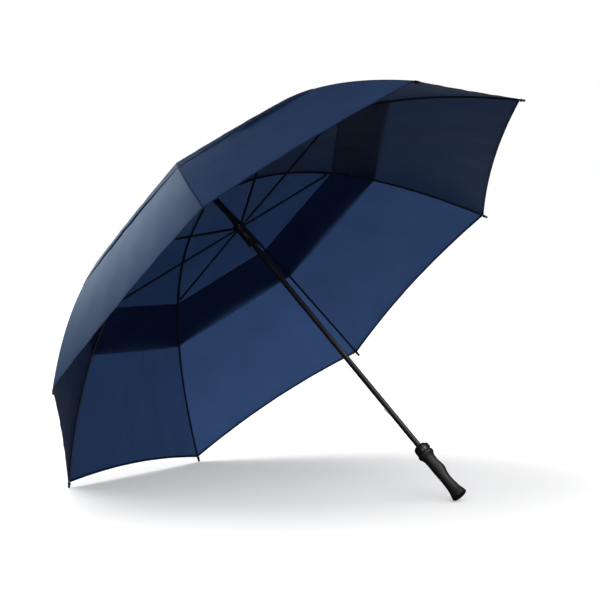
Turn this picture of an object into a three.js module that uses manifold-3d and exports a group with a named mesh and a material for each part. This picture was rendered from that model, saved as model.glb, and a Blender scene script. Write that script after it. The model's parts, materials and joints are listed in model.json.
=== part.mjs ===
// Golf umbrella with a vented double canopy, open, lying on two rib tips and the end of its grip.
// Millimetres, +Z up. The origin is under the middle of the bounding box, on the floor.
//
// Everything is modelled in the umbrella's own frame first: its axis is z, the ribs meet at z = 0,
// the ferrule points up and the grip hangs down. A point "down the shaft" has a negative z.
import * as THREE from 'three';
import { mergeVertices } from 'three/addons/utils/BufferGeometryUtils.js';
import Module from 'manifold-3d';

const wasm = await Module();
wasm.setup();

// ---- Driving dimensions ---------------------------------------------------------------------
const RIBS = 8;
const RIM_R = 680;                 // canopy corner to axis
const FLAT_R = 120;                // the ribs run level out to here, then bend down
const RIB_BEND = 0.7 / RIM_R;      // parabola of the bent part of a rib
const FIRST_AZIMUTH = -22.5;       // degrees, rib 1
const ROD_R = 2;                   // rib rod
const ROD_SIDES = 6;
const ROD_END_R = RIM_R + 3.5;     // the rod ends inside its tip cap

const SHAFT_R = 6.35;              // half-inch tube
const SHAFT_BORE_R = 4.9;
const SHAFT_TOP = 29;
const SHAFT_END = 905;             // bottom of the tube, inside the grip

const HINGE_R = 12;                // wire rings at the notch and the runner
const EYE_R = 2.3;
const EYE_HOLE_R = 0.95;
const WIRE_R = 0.6;
const LEAF = 2.2;                  // thickness of the flat eyes and tongues
const SLOT = 3.2;                  // width of the slots that the eyes turn in

const JOINT_R = 336;               // stretcher joint: radius and depth
const JOINT_DEPTH = 56;
const RUNNER_DEPTH = 2 * JOINT_DEPTH;
const FLEX_R = 341;                // the rib rod bends here when the umbrella closes
const FLEX_GAP = 1.2;

const RUNNER_TOP = RUNNER_DEPTH - 8;
const RUNNER_END = 166;
const RUNNER_BORE_R = 6.75;
const KEYWAY_R = 9.9;
const KEYWAY_W = 5.2;

const CATCH_AZIMUTH = 225;
const CATCH_REACH = 9.2;           // nose of a catch, from the axis
const CATCH_W = 2.6;
const TOP_CATCH = 169;             // depth of the upper end of each nose
const LOW_CATCH = 674;

const COLLAR_TOP = 788;
const GRIP_TOP = 808;
const GRIP_END = 929;
const BUTT_R = 18;
const FOOT_R = 3;                  // rounding of the rib tips and of the grip's end
const BUTTON_AZIMUTH = 25;
const BUTTON_DEPTH = 799;
const FINGER_AZIMUTH = 25;

const CLOTH = 0.5;
const LOWER_LIFT = ROD_R + 0.9;    // underside of the lower canopy above the rib's centre line
const UPPER_LIFT = LOWER_LIFT + CLOTH + 0.5;
const VENT_R = 0.5236 * RIM_R;     // inner edge of the lower canopy
const UPPER_HEM_R = 0.6732 * RIM_R;
const CROWN_HOLE_R = 9.6;
const RIM_SCALLOP = 0.0158;        // how far the rim curves in between two tips, as a share of RIM_R
const VENT_STANDOFF = 7;           // how far the upper hem stands off between two ribs
const GAP = 0.35;

// ---- Materials ------------------------------------------------------------------------------
const material = (color, roughness, metalness = 0) =>
  new THREE.MeshStandardMaterial({ color, roughness, metalness });
const navyCloth = material(0x1c2c4c, 0.75);
const blackPaint = material(0x111214, 0.35, 0.2);
const blackPlastic = material(0x141416, 0.4);
const gripRubber = material(0x18181b, 0.7);
const springSteel = material(0x9a9da1, 0.35, 0.9);
const blackFibre = material(0x16171a, 0.45);

// ---- Small geometry tools -------------------------------------------------------------------
const rad = THREE.MathUtils.degToRad;
const v2 = (x, y) => new THREE.Vector2(x, y);
const v3 = (x, y, z) => new THREE.Vector3(x, y, z);

function toSolid(geometry) {
  const bare = geometry.clone();
  for (const name of Object.keys(bare.attributes)) {
    if (name !== 'position') bare.deleteAttribute(name);
  }
  const merged = mergeVertices(bare, 1e-4);
  return new wasm.Manifold(new wasm.Mesh({
    numProp: 3,
    vertProperties: new Float32Array(merged.attributes.position.array),
    triVerts: new Uint32Array(merged.index.array),
  }));
}

function toGeometry(solid) {
  const mesh = solid.getMesh();
  const geometry = new THREE.BufferGeometry();
  geometry.setAttribute('position', new THREE.BufferAttribute(mesh.vertProperties, 3));
  geometry.setIndex(new THREE.BufferAttribute(mesh.triVerts, 1));
  geometry.computeVertexNormals();
  return geometry;
}

// Adds the geometries in "add" and takes those in "cut" away.
function carve(add, cut = []) {
  let solid = toSolid(add[0]);
  for (const g of add.slice(1)) solid = solid.add(toSolid(g));
  for (const g of cut) solid = solid.subtract(toSolid(g));
  return toGeometry(solid);
}

// A turned body: profile points are [radius, depth], from the top down.
function turned(profile, segments = 24) {
  const points = profile.map(([r, depth]) => v2(r, -depth));
  return new THREE.LatheGeometry(points.reverse(), segments).rotateX(Math.PI / 2);
}

// A turned ring or sleeve: the profile closes on itself.
function turnedRing(profile, segments = 24) {
  return turned([...profile, profile[0]], segments);
}

// A plate drawn in the radial plane at azimuth 0: outline points are [radius, depth].
function radialPlate(outline, thickness) {
  const shape = new THREE.Shape(outline.map(([r, depth]) => v2(r, -depth)));
  return new THREE.ExtrudeGeometry(shape, { depth: thickness, bevelEnabled: false })
    .translate(0, 0, -thickness / 2)
    .rotateX(Math.PI / 2);
}

// A pin along the tangent at azimuth 0, through the point [radius, depth].
function crossPin([r, depth], pinR, length, segments = 12) {
  return new THREE.CylinderGeometry(pinR, pinR, length, segments).translate(r, 0, -depth);
}

function sweep(section, curve, steps) {
  return new THREE.ExtrudeGeometry(section, { steps, bevelEnabled: false, extrudePath: curve });
}

function roundSection(radius, sides) {
  const points = [];
  for (let i = 0; i < sides; i += 1) {
    const a = (2 * Math.PI * i) / sides;
    points.push(v2(radius * Math.cos(a), radius * Math.sin(a)));
  }
  return new THREE.Shape(points);
}

const azimuthOf = (k) => rad(FIRST_AZIMUTH + (360 / RIBS) * k);

// ---- The shape of a rib ---------------------------------------------------------------------
const ribDepth = (r) => (r < FLAT_R ? 0 : RIB_BEND * (r - FLAT_R) ** 2);
const ribSlope = (r) => (r < FLAT_R ? 0 : 2 * RIB_BEND * (r - FLAT_R));

// Unit vector along the rib, outwards and down, in the radial plane at azimuth 0.
function ribTangent(r) {
  return v3(1, 0, -ribSlope(r)).normalize();
}

// A point "lift" above the rib's centre line, in the radial plane at the given azimuth.
function ribPoint(r, lift, azimuth) {
  const t = ribTangent(r);
  const radius = r - t.z * lift;
  return v3(radius * Math.cos(azimuth), radius * Math.sin(azimuth), -ribDepth(r) + t.x * lift);
}

class RibCurve extends THREE.Curve {
  constructor(from, to) {
    super();
    this.from = from;
    this.to = to;
  }

  getPoint(t, target = v3(0, 0, 0)) {
    return target.copy(ribPoint(this.from + t * (this.to - this.from), 0, 0));
  }
}

// ---- The umbrella ---------------------------------------------------------------------------
const umbrella = new THREE.Group();

function addPart(name, geometry, finish, azimuth = 0) {
  const mesh = new THREE.Mesh(geometry, finish);
  mesh.name = name;
  mesh.rotation.z = azimuth;
  umbrella.add(mesh);
  return mesh;
}

// A radial box at azimuth 0, from r0 to r1, from depth d0 to d1.
function radialBox(r0, r1, d0, d1, width) {
  return new THREE.BoxGeometry(r1 - r0, width, d1 - d0)
    .translate((r0 + r1) / 2, 0, -(d0 + d1) / 2);
}

// ---- Shaft ----------------------------------------------------------------------------------
function shaft() {
  const tube = turnedRing([
    [SHAFT_BORE_R, -SHAFT_TOP], [SHAFT_R, -SHAFT_TOP], [SHAFT_R, SHAFT_END], [SHAFT_BORE_R, SHAFT_END],
  ]);
  const windowAt = (depth) => radialBox(2, SHAFT_R + 2, depth - 1.5, depth + 24, CATCH_W + 0.8)
    .rotateZ(rad(CATCH_AZIMUTH));
  return carve([tube], [windowAt(TOP_CATCH), windowAt(LOW_CATCH)]);
}
addPart('shaft', shaft(), blackPaint);

// ---- Crown: notch, its wire ring, cap and ferrule -------------------------------------------
const NOTCH_TOP = -2.2;
const NOTCH_END = 5;
const NOTCH_R = 15;

// The wire ring lies in an open groove, so the ribs can be strung on it.
function ringGroove(depth, outer) {
  return turnedRing([[HINGE_R - 1.1, depth - 1.1], [outer, depth - 1.1], [outer, depth + 1.1],
    [HINGE_R - 1.1, depth + 1.1]]);
}

function hingeSlots(r1, d0, d1) {
  const slots = [];
  for (let k = 0; k < RIBS; k += 1) {
    slots.push(radialBox(8.6, r1, d0, d1, SLOT).rotateZ(azimuthOf(k)));
  }
  return slots;
}

const hub = turnedRing([[SHAFT_R + GAP, NOTCH_TOP], [NOTCH_R, NOTCH_TOP], [NOTCH_R, NOTCH_END],
  [SHAFT_R + GAP, NOTCH_END]], 32);
const notchCuts = [ringGroove(0, NOTCH_R + 2), ...hingeSlots(NOTCH_R + 2, -4, 8)];
addPart('notch', carve([hub], notchCuts), blackPlastic);

function wireRing(depth) {
  return new THREE.TorusGeometry(HINGE_R, WIRE_R, 5, 32).translate(0, 0, -depth);
}
addPart('notch_ring', wireRing(0), springSteel);

const CAP_BASE = -(UPPER_LIFT + CLOTH + GAP);
addPart('top_cap', turnedRing([
  [SHAFT_R + GAP, CAP_BASE - 6], [9.5, CAP_BASE - 6], [14, CAP_BASE - 4.2], [17, CAP_BASE - 1.4],
  [17.4, CAP_BASE], [SHAFT_R + GAP, CAP_BASE],
], 32), blackPlastic);

const FERRULE_BASE = CAP_BASE - 6 - GAP;
addPart('ferrule', turned([
  [0, -62], [3.2, -62], [4.1, -61], [4.4, -58], [5.2, -40], [8.3, -32], [8.6, -20], [9.2, FERRULE_BASE - 3],
  [9.2, FERRULE_BASE], [SHAFT_R + GAP, FERRULE_BASE], [SHAFT_R + GAP, -SHAFT_TOP - GAP],
  [0, -SHAFT_TOP - GAP],
], 16), blackPlastic);

// ---- Runner ---------------------------------------------------------------------------------
function runner() {
  const sleeve = turnedRing([
    [RUNNER_BORE_R, RUNNER_TOP], [13.4, RUNNER_TOP], [14.4, RUNNER_TOP + 1.2],
    [14.4, RUNNER_TOP + 13], [12.6, RUNNER_TOP + 15.5], [11, RUNNER_TOP + 17], [11, RUNNER_END - 9],
    [11.6, RUNNER_END - 6], [12, RUNNER_END], [RUNNER_BORE_R, RUNNER_END],
  ], 32);
  const keyway = radialBox(5, KEYWAY_R, RUNNER_TOP - 1, RUNNER_END + 1, KEYWAY_W)
    .rotateZ(rad(CATCH_AZIMUTH));
  return carve([sleeve], [ringGroove(RUNNER_DEPTH, 17), keyway,
    ...hingeSlots(17, RUNNER_TOP - 2, RUNNER_DEPTH + 4)]);
}
addPart('runner', runner(), blackPlastic);
addPart('runner_ring', wireRing(RUNNER_DEPTH), springSteel);

// ---- Catches and the rod that lets the lower one go -----------------------------------------
// A sprung catch: a leg inside the tube and a sloping nose that stands out through its window.
function springCatch(depth) {
  return radialPlate([
    [1.6, depth + 4], [3.6, depth + 1], [CATCH_REACH - 0.5, depth], [CATCH_REACH, depth + 0.8],
    [CATCH_REACH, depth + 4], [6.2, depth + 20], [3.4, depth + 22], [1.6, depth + 22],
  ], CATCH_W);
}
addPart('top_catch', springCatch(TOP_CATCH), springSteel, rad(CATCH_AZIMUTH));
addPart('lower_catch', springCatch(LOW_CATCH), springSteel, rad(CATCH_AZIMUTH));

const ROD_TOP = LOW_CATCH + 30;
addPart('release_rod', turned([
  [0, ROD_TOP], [2.4, ROD_TOP + 3], [2.4, BUTTON_DEPTH - 6], [1.2, BUTTON_DEPTH], [0, BUTTON_DEPTH],
], 10), springSteel);

// ---- Handle ---------------------------------------------------------------------------------
const COLLAR_PROFILE = [
  [SHAFT_R + GAP, COLLAR_TOP], [10.5, COLLAR_TOP], [13.8, COLLAR_TOP + 2], [16.2, COLLAR_TOP + 6],
  [16.8, COLLAR_TOP + 11], [16.8, GRIP_TOP - GAP], [SHAFT_R + GAP, GRIP_TOP - GAP],
];

// The button sits in a pocket of the collar and presses in towards the shaft.
const BUTTON_W = 8.4;
const BUTTON_H = 12;
const BUTTON_FACE = 19.2;
const BUTTON_BACK = 12.6;
const POCKET_R = 8.6;

function collar() {
  const half = BUTTON_H / 2 + GAP;
  const pocket = radialBox(POCKET_R, 24, BUTTON_DEPTH - half, BUTTON_DEPTH + half, BUTTON_W + 2 * GAP)
    .rotateZ(rad(BUTTON_AZIMUTH));
  return carve([turnedRing(COLLAR_PROFILE, 32)], [pocket]);
}
addPart('collar', collar(), blackPlastic);

function button() {
  const half = BUTTON_H / 2;
  const edge = BUTTON_FACE - 1.6;
  const shoulder = BUTTON_FACE - 0.4;
  return radialPlate([
    [BUTTON_BACK, BUTTON_DEPTH - half], [edge, BUTTON_DEPTH - half], [shoulder, BUTTON_DEPTH - half + 1.8],
    [BUTTON_FACE, BUTTON_DEPTH], [shoulder, BUTTON_DEPTH + half - 1.8], [edge, BUTTON_DEPTH + half],
    [BUTTON_BACK, BUTTON_DEPTH + half],
  ], BUTTON_W);
}
addPart('push_button', button(), blackPlastic, rad(BUTTON_AZIMUTH));

const SPRING_R = 2.4;
const SPRING_TURNS = 3;
const SPRING_WIRE_R = 0.35;
const SPRING_END_GAP = GAP + 0.5;
class SpringCurve extends THREE.Curve {
  getPoint(t, target = v3(0, 0, 0)) {
    const a = 2 * Math.PI * SPRING_TURNS * t;
    const length = BUTTON_BACK - POCKET_R - 2 * SPRING_END_GAP;
    const x = POCKET_R + SPRING_END_GAP + t * length;
    return target.set(x, SPRING_R * Math.cos(a), -BUTTON_DEPTH + SPRING_R * Math.sin(a));
  }
}
const spring = sweep(roundSection(SPRING_WIRE_R, 4), new SpringCurve(), 24);
addPart('button_spring', spring, springSteel, rad(BUTTON_AZIMUTH));

// The grip's outline from the flange down, [depth below GRIP_TOP, radius].
const GRIP_OUTLINE = [
  [0, 16.9], [2.5, 18.4], [7, 18.6], [11, 16.4], [17, 13.9], [26, 13.3], [36, 13.4], [46, 14.3], [52, 14.2],
  [62, 13], [72, 12.6], [84, 12.8], [96, 13.6], [107, 15.2], [115, 17.2], [GRIP_END - GRIP_TOP, BUTT_R],
];
const FINGER_DEPTH = 49;           // the bump between the fingers, below GRIP_TOP
const FINGER_SPAN = 13;
const FINGER_BUMP = 1.9;
const PALM_DEPTH = 76;
const PALM_SPAN = 20;
const PALM_HOLLOW = -1.3;
const GRIP_SIDES = 20;

// The finger side swells between two fingers and hollows under the third.
function gripRadius(depth, base, angle) {
  const side = Math.max(0, Math.cos(angle - rad(FINGER_AZIMUTH))) ** 1.5;
  const swell = FINGER_BUMP * Math.exp(-(((depth - FINGER_DEPTH) / FINGER_SPAN) ** 2));
  const hollow = PALM_HOLLOW * Math.exp(-(((depth - PALM_DEPTH) / PALM_SPAN) ** 2));
  return base + side * (swell + hollow);
}

function grip() {
  const bore = SHAFT_R + GAP;
  const profile = [[bore, GRIP_TOP], ...GRIP_OUTLINE.map(([d, r]) => [r, GRIP_TOP + d]), [bore, GRIP_END]];
  const geometry = turnedRing(profile, GRIP_SIDES);
  const position = geometry.attributes.position;
  for (let i = 0; i < position.count; i += 1) {
    const x = position.getX(i);
    const y = position.getY(i);
    const r = Math.hypot(x, y);
    if (r > bore + 1) {
      const scale = gripRadius(-position.getZ(i) - GRIP_TOP, r, Math.atan2(y, x)) / r;
      position.setXY(i, x * scale, y * scale);
    }
  }
  return geometry;
}
addPart('grip', grip(), gripRubber);

// The cap closes the bottom of the grip; its plug goes up inside the grip under the tube.
const BUTT_TOP = GRIP_END + GAP;
const BUTT_END = BUTT_TOP + 5.2;
const BUTT_FLAT_R = 9;
addPart('butt_cap', turned([
  [0, SHAFT_END + 2], [5.4, SHAFT_END + 2], [5.9, SHAFT_END + 3], [5.9, BUTT_TOP], [BUTT_R, BUTT_TOP],
  [BUTT_R - 0.6, BUTT_TOP + 1.9], [BUTT_R - 2.2, BUTT_TOP + 3.3], [13.5, BUTT_TOP + 4.4],
  [BUTT_FLAT_R, BUTT_END], [0, BUTT_END],
], 24), blackPlastic);

// ---- Ribs -----------------------------------------------------------------------------------
const JOINT = [JOINT_R, JOINT_DEPTH];
const RIVET_R = 1;

function innerRib() {
  const rod = sweep(roundSection(ROD_R, ROD_SIDES), new RibCurve(19, FLEX_R - FLEX_GAP), 7);
  const neck = radialBox(HINGE_R, 23, -1.5, 1.5, LEAF);
  const eye = crossPin([HINGE_R, 0], EYE_R, LEAF);
  const rodDepth = ribDepth(JOINT_R);
  const tongue = radialPlate([
    [JOINT_R - 4.5, rodDepth - 1], [JOINT_R + 3, rodDepth], [JOINT_R + 2.2, JOINT_DEPTH + 0.6],
    [JOINT_R, JOINT_DEPTH + 2.4], [JOINT_R - 2.2, JOINT_DEPTH + 0.6],
  ], 1.8);
  const rivet = crossPin(JOINT, RIVET_R, 5.4, 10);
  return carve([rod, neck, eye, tongue, rivet], [crossPin([HINGE_R, 0], EYE_HOLE_R, LEAF + 2)]);
}

function outerRib() {
  return sweep(roundSection(ROD_R, ROD_SIDES), new RibCurve(FLEX_R + FLEX_GAP, ROD_END_R), 8);
}

// A tip cap: a socket over the rod's end, just past the canopy's corner, with a ball end.
const TIP_LENGTH = 13;
const TIP_START = 0.8;
const TIP_SOCKET = 6.2;
function tipCap() {
  const arc = [];
  for (let i = 0; i <= 3; i += 1) {
    const a = (Math.PI / 2) * (i / 3);
    arc.push(v2(FOOT_R * Math.cos(a), TIP_LENGTH - FOOT_R + FOOT_R * Math.sin(a)));
  }
  arc[arc.length - 1].x = 0;
  const points = [v2(0, TIP_SOCKET), v2(ROD_R + GAP, TIP_SOCKET), v2(ROD_R + GAP, TIP_START),
    v2(3.3, TIP_START), v2(3.6, 3), v2(FOOT_R, 7), ...arc];
  const t = ribTangent(RIM_R);
  return new THREE.LatheGeometry(points, 8)
    .applyQuaternion(new THREE.Quaternion().setFromUnitVectors(v3(0, 1, 0), t))
    .translate(RIM_R, 0, -ribDepth(RIM_R));
}

// ---- Stretchers: a folded steel channel with a flat eye at the runner --------------------------
const STRETCHER = Math.hypot(JOINT_R - HINGE_R, RUNNER_DEPTH - JOINT_DEPTH);
function stretcher() {
  const outer = 2.2;
  const inner = 1.3;
  const top = 1.7;
  const bottom = -1.9;
  const floor = bottom + 0.9;
  const start = 11;                // the channel begins here; the flat neck runs from the eye into it
  const neckEnd = 17;
  const forkLength = 8;            // the channel's floor is cut away this far before the rivet
  const section = new THREE.Shape([
    v2(-outer, bottom), v2(outer, bottom), v2(outer, top), v2(inner, top),
    v2(inner, floor), v2(-inner, floor), v2(-inner, top), v2(-outer, top),
  ]);
  const depth = STRETCHER + 2.9 - start;
  const channel = new THREE.ExtrudeGeometry(section, { depth, bevelEnabled: false })
    .rotateX(Math.PI / 2)
    .rotateZ(Math.PI / 2)
    .translate(start, 0, 0);
  const neck = new THREE.BoxGeometry(neckEnd, LEAF, 2.9).translate(neckEnd / 2, 0, -0.3);
  const pinAt = (x, radius, length) =>
    new THREE.CylinderGeometry(radius, radius, length, 12).translate(x, 0, 0);
  const eye = pinAt(0, EYE_R, LEAF);
  const hole = pinAt(0, EYE_HOLE_R, LEAF + 2);
  const rivetHole = pinAt(STRETCHER, RIVET_R + GAP, 8);
  const fork = new THREE.BoxGeometry(2 * forkLength, 2 * inner, 8).translate(STRETCHER, 0, 0);
  const lean = Math.atan2(RUNNER_DEPTH - JOINT_DEPTH, JOINT_R - HINGE_R);
  return carve([channel, neck, eye], [hole, rivetHole, fork])
    .rotateY(-lean)
    .translate(HINGE_R, 0, -RUNNER_DEPTH);
}

// ---- Canopies -------------------------------------------------------------------------------
// A point of the cloth: s is the place along the ribs and v the place across, in ribs' spacings
// from rib 0. Between two ribs the cloth runs straight across from rib to rib.
function clothPoint(s, v, lift, standoff) {
  const step = (2 * Math.PI) / RIBS;
  const left = Math.floor(v);
  const share = v - left;
  const bow = 4 * share * (1 - share);
  const r = s * (1 - RIM_SCALLOP * bow * (s / RIM_R) ** 6);
  const rise = lift + standoff * bow;
  const a = ribPoint(r, rise, left * step);
  const b = ribPoint(r, rise, (left + 1) * step);
  return a.lerp(b, share);
}

// A closed sheet between s0 and s1: "across" lists the places across; "round" joins the ends.
function clothSolid(s0, s1, rows, across, lift, standoffAt, round) {
  const columns = across.length;
  const vertices = [];
  for (const side of [0, CLOTH]) {
    for (let i = 0; i <= rows; i += 1) {
      const s = s0 + ((s1 - s0) * i) / rows;
      for (const v of across) vertices.push(...clothPoint(s, v, lift + side, standoffAt(s)).toArray());
    }
  }
  const index = [];
  const at = (side, i, j) => side * (rows + 1) * columns + i * columns + (j % columns);
  const quad = (a, b, c, d) => index.push(a, b, c, a, c, d);
  const last = round ? columns : columns - 1;
  for (let j = 0; j < last; j += 1) {
    for (let i = 0; i < rows; i += 1) {
      quad(at(1, i, j), at(1, i + 1, j), at(1, i + 1, j + 1), at(1, i, j + 1));
      quad(at(0, i, j), at(0, i, j + 1), at(0, i + 1, j + 1), at(0, i + 1, j));
    }
    quad(at(0, 0, j), at(1, 0, j), at(1, 0, j + 1), at(0, 0, j + 1));
    quad(at(0, rows, j), at(0, rows, j + 1), at(1, rows, j + 1), at(1, rows, j));
  }
  if (!round) {
    for (let i = 0; i < rows; i += 1) {
      quad(at(0, i, 0), at(0, i + 1, 0), at(1, i + 1, 0), at(1, i, 0));
      const end = columns - 1;
      quad(at(0, i, end), at(1, i, end), at(1, i + 1, end), at(0, i + 1, end));
    }
  }
  const geometry = new THREE.BufferGeometry();
  geometry.setAttribute('position', new THREE.Float32BufferAttribute(vertices, 3));
  geometry.setIndex(index);
  geometry.computeVertexNormals();
  return geometry;
}

// Each rib carries half of the gore on either side of it, up to a hair from the gore's middle.
const PANEL_ACROSS = [-0.4992, -0.33, -0.16, 0, 0.16, 0.33, 0.4992];
const lowerPanel = () => clothSolid(VENT_R, RIM_R - 0.3, 7, PANEL_ACROSS, LOWER_LIFT, () => 0, false);

function upperStandoff(s) {
  const start = 0.4 * RIM_R;
  const share = Math.max(0, (s - start) / (UPPER_HEM_R - start));
  return VENT_STANDOFF * share * share;
}

function upperCanopy() {
  const across = [];
  for (let j = 0; j < RIBS * 4; j += 1) across.push(j / 4);
  return clothSolid(CROWN_HOLE_R, UPPER_HEM_R, 8, across, UPPER_LIFT, upperStandoff, true);
}

for (let k = 0; k < RIBS; k += 1) {
  const n = k + 1;
  addPart(`rib_inner_${n}`, innerRib(), blackFibre, azimuthOf(k));
  addPart(`rib_outer_${n}`, outerRib(), blackFibre, azimuthOf(k));
  addPart(`rib_tip_${n}`, tipCap(), blackPlastic, azimuthOf(k));
  addPart(`stretcher_${n}`, stretcher(), blackPaint, azimuthOf(k));
  addPart(`canopy_panel_${n}`, lowerPanel(), navyCloth, azimuthOf(k));
}
addPart('vent_canopy', upperCanopy(), navyCloth, azimuthOf(0));

// ---- Lying on the floor ---------------------------------------------------------------------
// Ribs 5 and 6 are the lowest. The ball ends of their tips and the rounded rim of the butt touch
// the floor, so the line between their centres is level.
const tipTangent = ribTangent(RIM_R);
const ballOut = (RIM_R + tipTangent.x * (TIP_LENGTH - FOOT_R)) * Math.cos(rad(22.5));
const ballDown = ribDepth(RIM_R) - tipTangent.z * (TIP_LENGTH - FOOT_R);
const buttDown = BUTT_TOP + 1;
const LEAN = Math.atan2(ballOut - (BUTT_R - FOOT_R), buttDown - ballDown);

umbrella.rotation.y = LEAN - Math.PI / 2;
const lying = new THREE.Group();
lying.add(umbrella);
lying.updateMatrixWorld(true);
const box = new THREE.Box3().setFromObject(umbrella, true);
umbrella.position.set(-(box.min.x + box.max.x) / 2, -(box.min.y + box.max.y) / 2, -box.min.z);

export default lying;
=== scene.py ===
"""An open golf umbrella with a vented double canopy, lying on two rib tips and the end of its grip."""
import json
import math

import bmesh
import bpy
import numpy as np
from mathutils import Matrix, Vector

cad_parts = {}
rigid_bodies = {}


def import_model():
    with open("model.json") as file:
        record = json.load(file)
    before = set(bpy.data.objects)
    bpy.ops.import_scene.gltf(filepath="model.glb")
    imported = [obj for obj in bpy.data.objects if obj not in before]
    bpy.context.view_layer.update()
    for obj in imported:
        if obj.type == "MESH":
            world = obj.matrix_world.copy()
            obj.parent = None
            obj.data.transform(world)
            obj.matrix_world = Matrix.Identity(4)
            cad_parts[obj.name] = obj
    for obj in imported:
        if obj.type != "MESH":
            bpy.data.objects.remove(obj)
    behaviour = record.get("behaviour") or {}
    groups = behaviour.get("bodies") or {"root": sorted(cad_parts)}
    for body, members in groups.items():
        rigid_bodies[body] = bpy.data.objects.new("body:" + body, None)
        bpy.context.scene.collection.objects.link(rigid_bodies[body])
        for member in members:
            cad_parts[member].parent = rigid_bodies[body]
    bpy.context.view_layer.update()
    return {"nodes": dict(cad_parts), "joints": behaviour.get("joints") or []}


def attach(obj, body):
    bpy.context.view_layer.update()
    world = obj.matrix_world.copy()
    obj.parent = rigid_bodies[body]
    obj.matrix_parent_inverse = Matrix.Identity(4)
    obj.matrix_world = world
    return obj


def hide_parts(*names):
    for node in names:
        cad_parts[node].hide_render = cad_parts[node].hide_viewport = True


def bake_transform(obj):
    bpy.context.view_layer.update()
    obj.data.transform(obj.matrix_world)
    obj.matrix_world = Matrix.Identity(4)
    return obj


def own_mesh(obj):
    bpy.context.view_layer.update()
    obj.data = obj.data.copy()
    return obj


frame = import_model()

MM = 0.001

# ---- The umbrella's own frame ---------------------------------------------------------------------
# The ribs meet at its origin, z runs up the shaft to the ferrule, and depths are measured down it.
RIBS = 8
STEP = 2 * math.pi / RIBS
joints = {joint["name"]: joint for joint in frame["joints"]}
fold_joints = [joints["canopy_fold"]] + [joints[f"rib_fold_{n}"] for n in range(2, RIBS + 1)]
hinge_points = [Vector(joint["pos_m"]) for joint in fold_joints]
crown = sum(hinge_points, Vector()) / RIBS
axis_up = -Vector(joints["release_rod_pull"]["axis"]).normalized()
axis_x = ((hinge_points[0] - crown) + (hinge_points[1] - crown)).normalized()
axis_y = axis_up.cross(axis_x)
UMBRELLA = Matrix.Translation(crown) @ Matrix((axis_x, axis_y, axis_up)).transposed().to_4x4()

FIRST_AZIMUTH = -STEP / 2          # rib 1
CATCH_AZIMUTH = math.radians(225)
BUTTON_AZIMUTH = math.radians(25)

# ---- Driving sizes, as in the CAD part ------------------------------------------------------------
RIM_R = 680 * MM                   # canopy corner to axis
FLAT_R = 120 * MM                  # the ribs run level out to here
RIB_BEND = 0.7 / RIM_R
ROD_R = 2 * MM
ROD_START = 19 * MM
ROD_END = RIM_R + 3.5 * MM
HINGE_R = (hinge_points[0] - crown).length
FLEX_R = 341 * MM                  # the outer rib turns on the inner one here
JOINT_R = 336 * MM
JOINT_DEPTH = 56 * MM
RUNNER_DEPTH = 2 * JOINT_DEPTH
SHAFT_R = 6.35 * MM
SHAFT_BORE_R = 4.9 * MM
SHAFT_TOP = 29 * MM
SHAFT_END = 905 * MM
GAP = 0.35 * MM                    # between two pieces that meet
BORE_R = SHAFT_R + GAP             # of the pieces pushed on the shaft

CLOTH = 0.5 * MM
LOWER_LIFT = ROD_R + 0.9 * MM
UPPER_LIFT = LOWER_LIFT + CLOTH + 0.5 * MM
VENT_R = 0.5236 * RIM_R
UPPER_HEM_R = 0.6732 * RIM_R
CROWN_HOLE_R = 9.6 * MM
CROWN_PART_R = 130 * MM            # the vent canopy is made in two pieces, divided here
RIM_SCALLOP = 0.0158
VENT_STANDOFF = 6 * MM
STANDOFF_START = 0.4 * RIM_R

COLLAR_TOP = 788 * MM
GRIP_TOP = 808 * MM
GRIP_END = 929 * MM
BUTT_TOP = GRIP_END + GAP
BUTT_END = BUTT_TOP + 5.2 * MM
BUTTON_DEPTH = 799 * MM


def azimuth_of(rib):
    """Azimuth of rib 0 to 7; halves give the middle of a gore."""
    return FIRST_AZIMUTH + STEP * rib


# ---- Camera ---------------------------------------------------------------------------------------
CAMERA_AIM = Vector((0, 0.029, 0.432))
CAMERA_DISTANCE = 3.813
CAMERA_AZIMUTH = math.radians(31.34)
CAMERA_ELEVATION = math.radians(2.02)
CAMERA_ROLL = math.radians(0.34)
LENS = 98.83
SENSOR = 36


def make_camera():
    """A camera that looks at CAMERA_AIM; its azimuth is counted from the front, to the right."""
    data = bpy.data.cameras.new("camera")
    data.lens = LENS
    data.sensor_width = SENSOR
    camera = bpy.data.objects.new("camera", data)
    bpy.context.scene.collection.objects.link(camera)
    level = math.cos(CAMERA_ELEVATION)
    back = Vector((math.sin(CAMERA_AZIMUTH) * level, -math.cos(CAMERA_AZIMUTH) * level,
                   math.sin(CAMERA_ELEVATION)))
    right = Vector((0, 0, 1)).cross(back).normalized()
    up = back.cross(right)
    rolled_up = up * math.cos(CAMERA_ROLL) + right * math.sin(CAMERA_ROLL)
    rolled_right = rolled_up.cross(back)
    turn = Matrix((rolled_right, rolled_up, back)).transposed().to_4x4()
    camera.matrix_world = Matrix.Translation(CAMERA_AIM + back * CAMERA_DISTANCE) @ turn
    bpy.context.scene.camera = camera


make_camera()


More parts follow.
